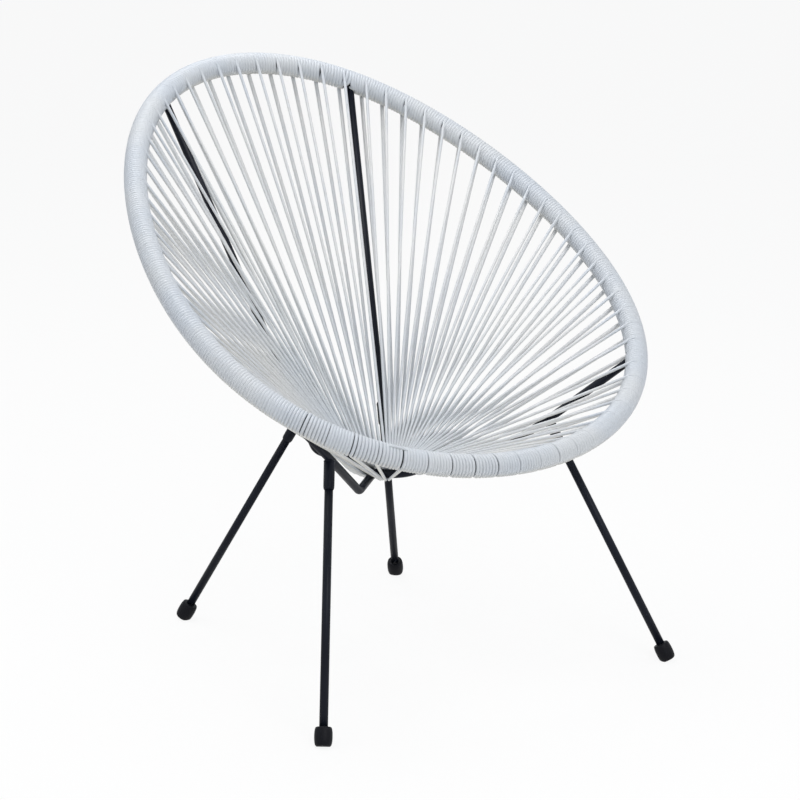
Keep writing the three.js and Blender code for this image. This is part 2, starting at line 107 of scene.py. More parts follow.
hoop_lengths = [0.0]
for i in range(LENGTH_SAMPLES):
    here = hoop_point(i * FULL_TURN / LENGTH_SAMPLES)
    ahead = hoop_point((i + 1) * FULL_TURN / LENGTH_SAMPLES)
    hoop_lengths.append(hoop_lengths[-1] + (ahead - here).length)
HOOP_LENGTH = hoop_lengths[-1]
ROD_PLACE = ROD_PLACE_SHARE * HOOP_LENGTH
STRUT_PLACE = STRUT_PLACE_SHARE * HOOP_LENGTH
print("the hoop is", round(HOOP_LENGTH, 3), "m round")

# %% [markdown]
# ## Frames on hoop and ring
# Cord and bars meet the hoop and the ring at many places. At each they need a centre, the direction
# there and the side that faces away from the middle. Two small functions give these for any place, so no
# piece has to be set by eye.

# %% Frames on hoop and ring
RING_AXIS = Vector((0, -math.sin(RING_TILT), math.cos(RING_TILT)))


def hoop_frame(place):
    """Centre, direction and outward side of the hoop at a length from its front middle."""
    wrapped = place % HOOP_LENGTH
    low, high = 0, LENGTH_SAMPLES
    while high - low > 1:
        middle = (low + high) // 2
        if hoop_lengths[middle] > wrapped:
            high = middle
        else:
            low = middle
    part = (wrapped - hoop_lengths[low]) / (hoop_lengths[high] - hoop_lengths[low])
    angle = (low + part) * FULL_TURN / LENGTH_SAMPLES
    step = FULL_TURN / LENGTH_SAMPLES
    tangent = (hoop_point(angle + step) - hoop_point(angle - step)).normalized()
    return hoop_point(angle), tangent, tangent.cross(SEAT_NORMAL).normalized()


def ring_frame(azimuth):
    """Centre and direction of the seat ring at an angle from its front."""
    back = Vector((0, math.cos(RING_TILT), math.sin(RING_TILT)))
    outward = Vector((math.sin(azimuth), 0, 0)) - math.cos(azimuth) * back
    tangent = Vector((math.cos(azimuth), 0, 0)) + math.sin(azimuth) * back
    return RING_CENTRE + RING_RADIUS * outward, tangent


print("front of the hoop", hoop_frame(0)[0], "front of the ring", ring_frame(0)[0])

# %% [markdown]
# ## Writing finishes
# A finish is a small net of nodes, as a painter's recipe is a list of layers. It could be drawn in the
# editor, or added node by node. The class below lets a mask be written as a sum or product instead, and
# adds the nodes for it, so that a finish is short and reads from top to bottom.

# %% Arithmetic that adds nodes


class Field:
    """A value or colour of a finish: arithmetic on it adds Math nodes."""

    def __init__(self, tree, socket):
        self.tree = tree
        self.socket = socket

    def math(self, operation, first, second=0.0):
        return add_node(self.tree, "ShaderNodeMath", {"operation": operation}, {0: first, 1: second})

    def __add__(self, other):
        return self.math("ADD", self, other)

    def __radd__(self, other):
        return self.math("ADD", other, self)

    def __sub__(self, other):
        return self.math("SUBTRACT", self, other)

    def __rsub__(self, other):
        return self.math("SUBTRACT", other, self)

    def __mul__(self, other):
        return self.math("MULTIPLY", self, other)

    def __rmul__(self, other):
        return self.math("MULTIPLY", other, self)

    def above(self, low, high):
        """0 below low, 1 above high, and a smooth step between them."""
        settings = {"interpolation_type": "SMOOTHSTEP"}
        return add_node(self.tree, "ShaderNodeMapRange", settings, {0: self, 1: low, 2: high})


def add_node(tree, kind, settings=None, inputs=None, output=0):
    """Adds a node, sets it, then feeds its sockets with values or with other fields."""
    node = tree.nodes.new(kind)
    for name, value in (settings or {}).items():
        setattr(node, name, value)
    for key, value in (inputs or {}).items():
        if isinstance(value, Field):
            tree.links.new(value.socket, node.inputs[key])
        else:
            node.inputs[key].default_value = value
    return Field(tree, node.outputs[output])


# %% [markdown]
# ## What recipes are made of
# Plastic and powder coat vary in cloudy patches, specks and tiny bumps. All of them are one noise at
# different sizes. It reads the chair's own metres, so that a speck is as large on a thin cord as on a
# foot cap, and no piece needs to be unwrapped.

# %% Noise, bumps and mixes
OBJECT_COORDINATES = 3
MIX_COLOURS = (6, 7)
MIX_RESULT = 2


def place_on_chair(tree):
    return add_node(tree, "ShaderNodeTexCoord", output=OBJECT_COORDINATES)


def part_of(vector, axis):
    """One of the three numbers of a vector field."""
    return add_node(vector.tree, "ShaderNodeSeparateXYZ", None, {0: vector}, output="XYZ".index(axis))


def grain(tree, scale, detail=2.0):
    """Cloudy noise; scale is in lumps a metre."""
    inputs = {"Vector": place_on_chair(tree), "Scale": scale, "Detail": detail}
    return add_node(tree, "ShaderNodeTexNoise", None, inputs)


def bumps(height, strength, depth):
    return add_node(
        height.tree, "ShaderNodeBump", None, {"Strength": strength, "Distance": depth, "Height": height}
    )


def mix_colour(factor, first, second):
    """Goes from a first colour to a second as the factor goes from 0 to 1."""
    tree = factor.tree
    node = tree.nodes.new("ShaderNodeMix")
    node.data_type = "RGBA"
    tree.links.new(factor.socket, node.inputs["Factor"])
    for number, colour in zip(MIX_COLOURS, (first, second)):
        if isinstance(colour, Field):
            tree.links.new(colour.socket, node.inputs[number])
        else:
            node.inputs[number].default_value = (*colour, 1)
    return Field(tree, node.outputs[MIX_RESULT])


def between(factor, low, high):
    """Goes from a low to a high value as the factor goes from 0 to 1."""
    return factor * (high - low) + low


def finish(name, recipe, **fixed):
    """A material whose shader has fixed values, and whose recipe links what varies."""
    material = bpy.data.materials.new(name)
    material.use_nodes = True
    tree = material.node_tree
    shader = tree.nodes["Principled BSDF"]
    for socket, value in fixed.items():
        shader.inputs[socket.replace("_", " ")].default_value = value
    for socket, value in recipe(tree).items():
        tree.links.new(value.socket, shader.inputs[socket])
    print("finish", name, "has", len(tree.nodes), "nodes")
    return material


# %% [markdown]
# ## The cord's finish
# The cord is smooth extruded plastic with a satin shine. Wound on the hoop it looks a cool grey-white.
# Strung, it is paler, with a painted warm shade on its undersides and a painted grey shade deep in the
# bowl, where the strands shade each other. Two finishes would meet in a hard ring where a strand leaves
# the rim, so one finish blends them by height over the hoop's plane.

# %% The cord's finish
WOUND_SHADES = ((0.57, 0.605, 0.655), (0.62, 0.64, 0.665))
STRUNG_SHADES = ((0.655, 0.672, 0.695), (0.7, 0.702, 0.7))
# Painted shade: the grey-blue that the strands get deep in the bowl, where they shade each other.
BOWL_PAINTED_SHADE = (0.51, 0.56, 0.62)
# Painted shade: the warm cream that the cords get on their downward faces.
UNDERSIDE_PAINTED_SHADE = (0.66, 0.625, 0.52)
SPECK_SHADE = (0.5, 0.5, 0.49)
RIM_HEIGHTS = (-25 * MM, -4 * MM)
BOWL_DEPTHS = (100 * MM, 210 * MM)
UNDERSIDE = (0.25, 0.95)
CORD_GRAIN = {"patches": 9, "specks": 160, "skin": 900}
PATCH_EDGES = (0.35, 0.65)
SPECK_EDGES = (0.56, 0.75)
# How much of the painted shade deep in the bowl is mixed in.
BOWL_SHADE_SHARE = 0.4
# How much of the painted warm shade on the undersides is mixed in.
UNDERSIDE_SHADE_SHARE = 0.5
SPECK_SHARE = 0.25
CORD_ROUGHNESS = (0.36, 0.46)
SKIN_BUMPS = (0.12, 0.2 * MM)
NORMAL_OUTPUT = 1


def seat_height(tree):
    """How high a place lies over the hoop's plane."""
    place = place_on_chair(tree)
    height = part_of(place, "Y") * SEAT_NORMAL.y + part_of(place, "Z") * SEAT_NORMAL.z
    return height - HOOP_CENTRE.dot(SEAT_NORMAL)


def cord_recipe(tree):
    patches = grain(tree, CORD_GRAIN["patches"]).above(*PATCH_EDGES)
    specks = grain(tree, CORD_GRAIN["specks"], detail=3).above(*SPECK_EDGES)
    height = seat_height(tree)
    facing_down = 0 - part_of(add_node(tree, "ShaderNodeNewGeometry", output=NORMAL_OUTPUT), "Z")
    strung = mix_colour(patches, *STRUNG_SHADES)
    # Painted shade: greyer deep in the bowl, near the ring, where the strands shade each other.
    bowl_shaded = mix_colour((0 - height).above(*BOWL_DEPTHS) * BOWL_SHADE_SHARE, strung, BOWL_PAINTED_SHADE)
    pale = mix_colour(height.above(*RIM_HEIGHTS), bowl_shaded, mix_colour(patches, *WOUND_SHADES))
    # Painted shade: a warmer cream on faces that look down.
    underside_shaded = mix_colour(facing_down.above(*UNDERSIDE) * UNDERSIDE_SHADE_SHARE, pale, UNDERSIDE_PAINTED_SHADE)
    return {
        "Base Color": mix_colour(specks * SPECK_SHARE, underside_shaded, SPECK_SHADE),
        "Roughness": between(patches, *CORD_ROUGHNESS),
        "Normal": bumps(grain(tree, CORD_GRAIN["skin"]), *SKIN_BUMPS),
    }


cord_finish = finish("pale_cord", cord_recipe, Specular_IOR_Level=0.48)

# %% [markdown]
# ## Powder coat and foot plastic
# The coat is baked powder: nearly black, a little blue, and finely rippled like orange peel. The foot
# caps are moulded in a sparked tool, which leaves them matt, and they get scuffed near the floor. A bump
# is enough for both, as the real relief is thinner than paper.

# %% Powder coat and foot plastic
COAT_SHADES = ((0.0062, 0.0078, 0.0135), (0.0086, 0.0104, 0.0175))
COAT_GRAIN = {"clouds": 14, "peel": 1100}
CLOUD_EDGES = (0.3, 0.7)
COAT_ROUGHNESS = (0.34, 0.46)
PEEL_BUMPS = (0.2, 0.15 * MM)
CAP_SHADE = (0.0036, 0.0038, 0.0062)
SCUFF_SHADE = (0.024, 0.0235, 0.025)
SCUFF_HEIGHTS = (2 * MM, 11 * MM)
CAP_GRAIN = {"scuffs": 420, "spark": 2600}
SCUFF_EDGES = (0.5, 0.68)
CAP_ROUGHNESS = (0.52, 0.77)
SPARK_BUMPS = (0.3, 0.1 * MM)


def coat_recipe(tree):
    clouds = grain(tree, COAT_GRAIN["clouds"]).above(*CLOUD_EDGES)
    return {
        "Base Color": mix_colour(clouds, *COAT_SHADES),
        "Roughness": between(clouds, *COAT_ROUGHNESS),
        "Normal": bumps(grain(tree, COAT_GRAIN["peel"], detail=1), *PEEL_BUMPS),
    }


def foot_recipe(tree):
    low_down = 1 - part_of(place_on_chair(tree), "Z").above(*SCUFF_HEIGHTS)
    scuffs = grain(tree, CAP_GRAIN["scuffs"], detail=3).above(*SCUFF_EDGES) * low_down
    return {
        "Base Color": mix_colour(scuffs, CAP_SHADE, SCUFF_SHADE),
        "Roughness": between(scuffs, *CAP_ROUGHNESS),
        "Normal": bumps(grain(tree, CAP_GRAIN["spark"], detail=1), *SPARK_BUMPS),
    }


coat_finish = finish("powder_coat", coat_recipe, Specular_IOR_Level=0.12)
foot_finish = finish("foot_plastic", foot_recipe, Specular_IOR_Level=0.13)

# %% [markdown]
# ## Finishes for the CAD model
# The CAD nodes come in with plain colours. Most are replaced below by finer pieces, and the hoop's tube
# stays, as it shows only through slits in the winding. Each gets its finish by a word in its name.

# %% Finishes for the CAD model
FINISH_WORDS = {"winding": cord_finish, "strands": cord_finish, "cap": foot_finish}

for name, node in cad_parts.items():
    chosen = [material for word, material in FINISH_WORDS.items() if word in name]
    node.data.materials.clear()
    node.data.materials.append(chosen[0] if chosen else coat_finish)
print("finished", len(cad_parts), "CAD nodes")

# %% [markdown]
# ## Pieces
# Every piece is shaped as a bmesh and then made an object of the chair's one body. A piece names its
# A piece gets its finish in its one slot, and hides the CAD node that it stands for.

# %% From a bmesh to a piece


def put(name, body, material, replaced):
    """Makes a bmesh the piece called name, smooth, on the chair's body."""
    mesh = bpy.data.meshes.new(name)
    body.to_mesh(mesh)
    body.free()
    mesh.shade_smooth()
    mesh.materials.append(material)
    piece = bpy.data.objects.new(name, mesh)
    bpy.context.collection.objects.link(piece)
    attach(piece, "root")
    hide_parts(replaced)
    return piece


def merged(bodies):
    """Several bmeshes as one."""
    whole = bmesh.new()
    for body in bodies:
        part = bpy.data.meshes.new("part")
        body.to_mesh(part)
        body.free()
        whole.from_mesh(part)
        bpy.data.meshes.remove(part)
    return whole


def mirrored(point, sign):
    return Vector((point.x * sign, point.y, point.z))


# %% [markdown]
# ## Bars
# Every bar of the frame is a circle pulled along its line, as the mill draws round bar. A curve with a
# bevel makes one as well, but extruding a circle step by step keeps its ends and its seam in hand. A
# bend is a true arc, as a bending tool leaves it, so the shine runs round it without a kink.

# %% A circle pulled along a line
BAR_SIDES = 24
BEND_STEPS = 10


def bend(before, corner, after, radius):
    """Points of a round bend at a corner between two straight runs."""
    incoming = (corner - before).normalized()
    outgoing = (after - corner).normalized()
    turn = incoming.angle(outgoing)
    start = corner - radius * math.tan(turn / 2) * incoming
    axis = incoming.cross(outgoing).normalized()
    centre = start + radius * axis.cross(incoming)
    spoke = start - centre
    return [centre + Quaternion(axis, turn * i / BEND_STEPS) @ spoke for i in range(BEND_STEPS + 1)]


def edges_of(verts):
    return list({edge for vert in verts for edge in vert.link_edges})


def sweep(points):
    """A round bar through points, closed by a flat end at each side."""
    body = bmesh.new()
    direction = (points[1] - points[0]).normalized()
    turn = Vector((0, 0, 1)).rotation_difference(direction)
    spot = Matrix.Translation(points[0]) @ turn.to_matrix().to_4x4()
    circle = bmesh.ops.create_circle(body, cap_ends=True, segments=BAR_SIDES, radius=BAR_RADIUS, matrix=spot)
    edges = edges_of(circle["verts"])
    for i in range(1, len(points)):
        onward = points[min(i + 1, len(points) - 1)] - points[i - 1]
        pulled = bmesh.ops.extrude_edge_only(body, edges=edges)["geom"]
        verts = [item for item in pulled if isinstance(item, bmesh.types.BMVert)]
        edges = [item for item in pulled if isinstance(item, bmesh.types.BMEdge)]
        lean = direction.rotation_difference(onward.normalized())
        bmesh.ops.translate(body, verts=verts, vec=points[i] - points[i - 1])
        pivot = Matrix.Translation(-points[i])
        bmesh.ops.rotate(body, verts=verts, cent=(0, 0, 0), matrix=lean.to_matrix(), space=pivot)
        direction = onward.normalized()
    bmesh.ops.contextual_create(body, geom=edges)
    bmesh.ops.recalc_face_normals(body, faces=body.faces)
    return body


# %% [markdown]
# ## Rings
# The seat ring is bar bent to a closed circle, and a weld bead is a thin ring of metal round a bar.
# Blender has a torus, but a small circle spun about an axis makes one with operators that also serve
# every turned piece below. A full spin ends on its own start, so the doubles there are merged.

# %% A small circle spun to a ring
SAME_PLACE = 0.001 * MM
BEAD_RIPPLES = 11
BEAD_UNEVENNESS = 0.12


def spun_ring(radius, thick, sides, steps):
    """A ring round the Z axis, of a round section."""
    body = bmesh.new()
    spot = Matrix.Translation((radius, 0, 0)) @ Matrix.Rotation(math.pi / 2, 4, "X")
    circle = bmesh.ops.create_circle(body, segments=sides, radius=thick, matrix=spot)["verts"]
    spin_shut(body, edges_of(circle), steps)
    return body


def spin_shut(body, edges, steps):
    """Spins edges once round the Z axis, and closes the seam."""
    bmesh.ops.spin(
        body, geom=edges, cent=(0, 0, 0), axis=(0, 0, 1), angle=FULL_TURN, steps=steps, use_merge=True
    )
    bmesh.ops.remove_doubles(body, verts=body.verts, dist=SAME_PLACE)
    bmesh.ops.recalc_face_normals(body, faces=body.faces)


def laid_along(body, start, axis):
    """Turns a body from the Z axis to an axis, and moves it to its start."""
    turn = Vector((0, 0, 1)).rotation_difference(axis.normalized()).to_matrix().to_4x4()
    bmesh.ops.transform(body, verts=body.verts, matrix=Matrix.Translation(start) @ turn)
    return body


def weld_bead(centre, axis, radius, thick):
    """A ring of weld metal round a bar, a little uneven as if laid by hand."""
    body = spun_ring(radius, thick, sides=8, steps=28)
    for vert in body.verts:
        ripple = math.sin(BEAD_RIPPLES * math.atan2(vert.co.y, vert.co.x))
        vert.co.z += ripple * BEAD_UNEVENNESS * thick
    return laid_along(body, centre, axis)


# %% [markdown]
# ## Rods, struts and the seat ring
# Each side rod leaves the hoop, passes the front leg's joint, turns up in a bend under the seat and is
# welded to the ring. Each back strut does the same behind. Both are one bar with one bend, so one
# function makes all four, and a lumpy bead at the ring is the weld.

# %% Rods, struts and the seat ring
BEAD_SETBACK = 0.9 * MM
BEAD_THICK = 1.3 * MM


def azimuth_of(point):
    """Where round the ring a point lies, as an angle from the ring's front."""
    return math.atan2(point.x, RING_CENTRE.y - point.y)


strut_run = REAR_JOINT - hoop_frame(STRUT_PLACE)[0]
STRUT_BEND = REAR_JOINT + strut_run * ((RING_CENTRE.z - REAR_JOINT.z) / strut_run.z)
ROD_AZIMUTH = azimuth_of(ROD_BEND)
STRUT_AZIMUTH = azimuth_of(STRUT_BEND)


def frame_bar(name, place, joint, corner, radius, azimuth, sign):
    """A bar from the hoop, past its joint and round its bend, to the ring."""
    top = hoop_frame(place * sign)[0]
    knee = mirrored(joint, sign)
    foot = ring_frame(azimuth * sign)[0]
    points = [top, knee, *bend(knee, mirrored(corner, sign), foot, radius), foot]
    inward = (foot - points[-2]).normalized()
    bead_place = foot - inward * (BAR_RADIUS + BEAD_SETBACK)
    bead = weld_bead(bead_place, inward, BAR_RADIUS, BEAD_THICK)
    return put(f"smooth_{name}", merged([sweep(points), bead]), coat_finish, name)


ROD = (ROD_PLACE, FRONT_JOINT, ROD_BEND, ROD_BEND_RADIUS, ROD_AZIMUTH)
STRUT = (STRUT_PLACE, REAR_JOINT, STRUT_BEND, STRUT_BEND_RADIUS, STRUT_AZIMUTH)
for side, sign in SIDES.items():
    frame_bar(f"side_rod_{side}", *ROD, sign)
    frame_bar(f"back_strut_{side}", *STRUT, sign)

ring_body = spun_ring(RING_RADIUS, BAR_RADIUS, sides=20, steps=96)
tilt = Matrix.Translation(RING_CENTRE) @ Matrix.Rotation(RING_TILT, 4, "X")
bmesh.ops.transform(ring_body, verts=ring_body.verts, matrix=tilt)
put("smooth_seat_ring", ring_body, coat_finish, "seat_ring")
print("rods, struts and ring are in place")

# %% [markdown]
# ## Legs, sockets and foot caps
# A socket is a short tube welded to the bar, its mouth eased. The leg is a straight bar pushed into it,
# and the cap is a barrel of plastic pushed on the leg and worn flat where it stands on the floor. Socket
# and cap are round about the leg, so an outline spun about it makes each, as on a lathe.

# %% Sockets and caps on the lathe
SOCKET_START = 3 * MM
SOCKET_LENGTH = 44 * MM
SOCKET_RADIUS = 7.75 * MM
SOCKET_BORE = 6.35 * MM
MOUTH_EASING = ((0, 5), (0.2, 2.4), (0.8, 0.4), (1.1, 0))
SEAM_PLACE = 4.6 * MM
SEAM_RADIUS = SOCKET_RADIUS - 0.4 * MM
SEAM_THICK = 0.8 * MM
CAP_RADIUS = 12.5 * MM
CAP_LENGTH = 26 * MM
CAP_SHARES = (
    (0.5, 0.0), (0.8, 0.0), (0.86, 0.012), (0.9, 0.04), (0.955, 0.14), (0.99, 0.28), (1, 0.42),
    (1, 0.56), (0.985, 0.7), (0.95, 0.83), (0.9, 0.92), (0.84, 0.965), (0.76, 1.0),
)
LATHE_STEPS = 32


def turned(outline, start, axis):
    """A body turned from an outline of (radius, height) about an axis."""
    body = bmesh.new()
    verts = [body.verts.new((radius, 0, height)) for radius, height in outline]
    edges = [body.edges.new(pair) for pair in zip(verts, verts[1:])]
    spin_shut(body, edges, LATHE_STEPS)
    return laid_along(body, start, axis)


def socket_body(joint, axis):
    """The socket's wall, with its eased mouth and the seam by which it is welded on."""
    mouth = [(SOCKET_RADIUS - inset * MM, SOCKET_LENGTH - back * MM) for inset, back in MOUTH_EASING]
    bore = [(SOCKET_BORE, SOCKET_LENGTH), (SOCKET_BORE, SOCKET_START)]
    outline = [(SOCKET_BORE, SOCKET_START), (SOCKET_RADIUS, SOCKET_START), *mouth, *bore]
    seam = weld_bead(joint + axis * SEAM_PLACE, axis, SEAM_RADIUS, SEAM_THICK)
    return merged([turned(outline, joint, axis), seam])


def cap_body(foot, axis):
    """The cap's barrel, cut off at the floor."""
    outline = [(CAP_RADIUS * radius, CAP_LENGTH * height) for radius, height in CAP_SHARES]
    cap = turned([*outline, (0, CAP_LENGTH)], foot - axis * CAP_LENGTH / 2, axis)
    whole = [*cap.verts, *cap.edges, *cap.faces]
    cut = bmesh.ops.bisect_plane(cap, geom=whole, plane_co=(0, 0, 0), plane_no=(0, 0, -1), clear_outer=True)
    rim = [item for item in cut["geom_cut"] if isinstance(item, bmesh.types.BMEdge)]
    bmesh.ops.contextual_create(cap, geom=rim)
    return cap


# %% [markdown]
# ## The four legs in place
# Each leg runs from its joint on a bar to its foot on the floor, splayed both ways. The right-hand joints
# and feet are the drawing's, and the left-hand ones mirror them.

# %% The four legs in place
LEG_SETBACK = 13 * MM
LEG_PAST_FOOT = 4.7 * MM


def leg_set(place, joint, foot):
    axis = (foot - joint).normalized()
    socket = socket_body(joint, axis)
    put(f"smooth_leg_socket_{place}", socket, coat_finish, f"leg_socket_{place}")
    leg = sweep([joint + axis * LEG_SETBACK, foot + axis * LEG_PAST_FOOT])
    put(f"smooth_leg_{place}", leg, coat_finish, f"leg_{place}")
    put(f"smooth_foot_cap_{place}", cap_body(foot, axis), foot_finish, f"foot_cap_{place}")


for side, sign in SIDES.items():
    leg_set(f"front_{side}", mirrored(FRONT_JOINT, sign), mirrored(FRONT_FOOT, sign))
    leg_set(f"rear_{side}", mirrored(REAR_JOINT, sign), mirrored(REAR_FOOT, sign))
print("four legs stand in their sockets and caps")

# %% [markdown]
# ## The cord's layout
# Between the bars lie four bays. In each, the cord leaves the hoop at even places for the ring. At most
# places it is doubled: one strand runs from the hoop's seat side and one comes back to its underside. At
# the ten middle places in front only the upper one is there. In front, the lower ends crowd towards the
# rods. Round a circle one strand could be copied about an axis. Round an egg each has its own two ends.

# %% Bays and places
TURN_PITCH = 4.45 * MM
RIM_RADIUS = HOOP_TUBE_RADIUS + 2 * CORD_RADIUS - 0.5 * MM
UPPER_RING_EDGE = 2.6 * MM
LOWER_RING_EDGE = 8.8 * MM
CROWDED_PLACES = 4
CROWDED_SHARE = 0.16
CROWDING = 1.6

Bay = namedtuple("Bay", "start end places edge ring_start ring_end doubled_ends")
Strand = namedtuple("Strand", "place upper lower doubled")

BAYS = {
    "front": Bay(-ROD_PLACE, ROD_PLACE, 20, 29.8 * MM, -ROD_AZIMUTH, ROD_AZIMUTH, 5),
    "right": Bay(ROD_PLACE, STRUT_PLACE, 20, 24 * MM, ROD_AZIMUTH, STRUT_AZIMUTH, 10),
    "back": Bay(
        STRUT_PLACE, HOOP_LENGTH - STRUT_PLACE, 10, 13 * MM, STRUT_AZIMUTH, FULL_TURN - STRUT_AZIMUTH, 5
    ),
    "left": Bay(-STRUT_PLACE, -ROD_PLACE, 20, 24 * MM, -STRUT_AZIMUTH, -ROD_AZIMUTH, 10),
}


def ring_azimuth(bay, edge, share):
    inset = edge / RING_RADIUS
    return bay.ring_start + inset + share * (bay.ring_end - bay.ring_start - 2 * inset)


def strands_of(bay):
    """The bay's strands: their hoop place, upper and lower ring azimuth, and whether they are doubled."""
    strands = []
    for i in range(bay.places):
        share = i / (bay.places - 1)
        place = bay.start + bay.edge + share * (bay.end - bay.start - 2 * bay.edge)
        lower_share = share
        if 2 * bay.doubled_ends < bay.places:
            from_end = min(share, 1 - share) * (bay.places - 1) / CROWDED_PLACES
            crowded = CROWDED_SHARE * from_end**CROWDING
            lower_share = crowded if share < 0.5 else 1 - crowded
        upper = ring_azimuth(bay, UPPER_RING_EDGE, share)
        lower = ring_azimuth(bay, LOWER_RING_EDGE, lower_share)
        doubled = i < bay.doubled_ends or i >= bay.places - bay.doubled_ends
        strands.append(Strand(place, upper, lower, doubled))
    return strands


STRANDS = {name: strands_of(bay) for name, bay in BAYS.items()}
print({name: len(strands) for name, strands in STRANDS.items()}, "places are strung")

# %% [markdown]
# ## From lines to cord
# A cord is a round section along a line. Each line here is a list of points, each with its thickness as
# a share of the cord's. A curve with a bevel takes both, and is then made a mesh. That is far quicker
# than extruding a circle through the ten thousand points of the winding.

# %% From lines to cord
CORD_ROUNDNESS = 4


def cord_piece(name, lines, replaced):
    """Cords through lists of (point, thickness share), made a mesh."""
    curve = bpy.data.curves.new(name, "CURVE")
    curve.dimensions = "3D"
    curve.bevel_depth = CORD_RADIUS
    curve.bevel_resolution = CORD_ROUNDNESS
    curve.use_fill_caps = True
    for line, cyclic in lines:
        spline = curve.splines.new("POLY")
        spline.points.add(len(line) - 1)
        spline.use_cyclic_u = cyclic
        for target, (point, share) in zip(spline.points, line):
            target.co = (*point, 1)
            target.radius = share
    drawn = bpy.data.objects.new(name, curve)
    bpy.context.collection.objects.link(drawn)
    mesh = bpy.data.meshes.new_from_object(drawn.evaluated_get(bpy.context.evaluated_depsgraph_get()))
    bpy.data.objects.remove(drawn)
    body = bmesh.new()
    body.from_mesh(mesh)
    bmesh.ops.recalc_face_normals(body, faces=body.faces)
    bpy.data.meshes.remove(mesh)
    piece = put(name, body, cord_finish, replaced)
    print(name, "has", len(piece.data.polygons), "faces")
    return piece


# %% [markdown]
# ## How tight the turns are
# The winding isn't the same all round. At the front left each turn shows, and a few are a little loose,
# so that the black tube shows as a thin slit. From the middle of the front on, the turns close up to an
# almost smooth skin. They are drawn thicker than the cord there, and sunk by as much. Beside a strand
# that leaves the tube, a small wedge can open. A bump map could draw turns, but no slit and no wedge.

# %% How tight the turns are
PRESSED = {"front": (1.08, 1.4), "right": (1.4, 1.4), "back": (1.35, 1.35), "left": (1.4, 1.4)}
PRESSED_FROM = 0.5
PRESSED_OVER = 0.25
SLIT = 1.5 * MM
SLIT_CHANCE = {"front": 0.55, "right": 0, "back": 0, "left": 0}
SLITS_UNTIL = 0.62
WEDGES = {"front": 0, "right": 3.2 * MM, "back": 3.6 * MM, "left": 0}
SMALLEST_GAP = 0.3


def smooth_step(share):
    share = min(max(share, 0), 1)
    return share * share * (3 - 2 * share)


def pressed_at(bay_name, place):
    """How much thicker than the cord its turns are drawn at a place, so that they close up."""
    bay = BAYS[bay_name]
    low, high = PRESSED[bay_name]
    along = (place - bay.start) / (bay.end - bay.start)
    return low + (high - low) * smooth_step((along - PRESSED_FROM) / PRESSED_OVER)


def gaps_at(bay_name, along):
    """The slits before and after a strand's turn, and the wedge beside it where it leaves the tube."""
    chance = SLIT_CHANCE[bay_name] if along < SLITS_UNTIL else 0
    slits = [SLIT * random.uniform(SMALLEST_GAP, 1) if random.random() < chance else 0 for _ in range(2)]
    wedge = WEDGES[bay_name] * random.uniform(SMALLEST_GAP, 1)
    return *slits, wedge if bay_name == "back" else wedge * along


print("turns are drawn", PRESSED["front"], "times as thick as the cord in front")

# %% [markdown]
# ## The winding
# The cord is a helix round a curved tube, from bar to bar. Each strand's own turn is part of it, which
# leaves the tube on the bowl's side. The helix makes room for it: there its turns spread from their even
# places towards the strand, and outside they lie a pitch apart. At a bar they keep off the bar only on
# its own side of the tube. A texture could suggest all this, but then the rim's outline would be smooth.

# %% Turns round the hoop
TURN_STEPS = 24
CLOSED_FROM = 0.62
BAR_CLEARANCE = 8.6 * MM
BAR_SHARPNESS = 4
WEDGE_SIDE = math.radians(31)
WEDGE_SHARPNESS = 6


def side_of_tube(angle, outward):
    """Direction from the tube's middle at an angle from the bowl's side towards the seat's side."""
    return math.sin(angle) * SEAT_NORMAL - math.cos(angle) * outward


def lean_of(place, target):
    """The angle on the tube at which a line to a target leaves it."""
    centre, _, outward = hoop_frame(place)
    run = target - centre
    return math.atan2(run.dot(SEAT_NORMAL), -run.dot(outward))


def give(angle, lean, bar):
    """How far turns spread towards a strand that has left the tube, or keep off a bar."""
    facing = max(0, math.cos(angle - lean))
    if bar:
        return -BAR_CLEARANCE * facing**BAR_SHARPNESS
    return TURN_PITCH / 2 * smooth_step(facing / CLOSED_FROM)


def winding_line(bay_name, stops, gaps):
    """Points of the helix from bar to bar, past stops of (place, lean)."""
    line = []
    for number, ((start, lean_low), (end, lean_high)) in enumerate(zip(stops, stops[1:])):
        first, last = number == 0, number == len(stops) - 2
        low = start if first else start + TURN_PITCH / 2 + gaps[number][1]
        high = end if last else end - TURN_PITCH / 2 - gaps[number + 1][0]
        steps = max(1, round((high - low) / TURN_PITCH)) * TURN_STEPS
        for step in range(steps + (1 if last else 0)):
            share = step / steps
            angle = FULL_TURN * step / TURN_STEPS
            beside = max(0, math.cos(angle - WEDGE_SIDE)) ** WEDGE_SHARPNESS
            wedge = 0 if first else gaps[number][2] * beside
            back = (give(angle, lean_low, first) - wedge) * (1 - share)
            ahead = give(angle, lean_high, last) * share
            place = low + (high - low) * share + ahead - back
            pressed = pressed_at(bay_name, place)
            centre, _, outward = hoop_frame(place)
            radius = RIM_RADIUS - CORD_RADIUS * pressed
            line.append((centre + radius * side_of_tube(angle, outward), pressed))
    return line


# %% [markdown]
# ## The cord's end
# Wherever a length of cord ends, its end is tucked along the rim under the turns. One such end shows in
# front, beside a strand on the seat's side. It is a short line of its own that rises a little over the
# turns and dips under them at both ends.

# %% The cord's end
TAIL_START = 8 * MM
TAIL_LENGTH = 30 * MM
TAIL_SIDE = math.radians(84)
TAIL_STEPS = 12
TAIL_THICKNESS = 0.8
TAIL_DEPTH = 1.2 * CORD_RADIUS
TAIL_RISE = 1.4 * CORD_RADIUS
TAIL_FLATNESS = 0.4
TAIL_STOP = 4


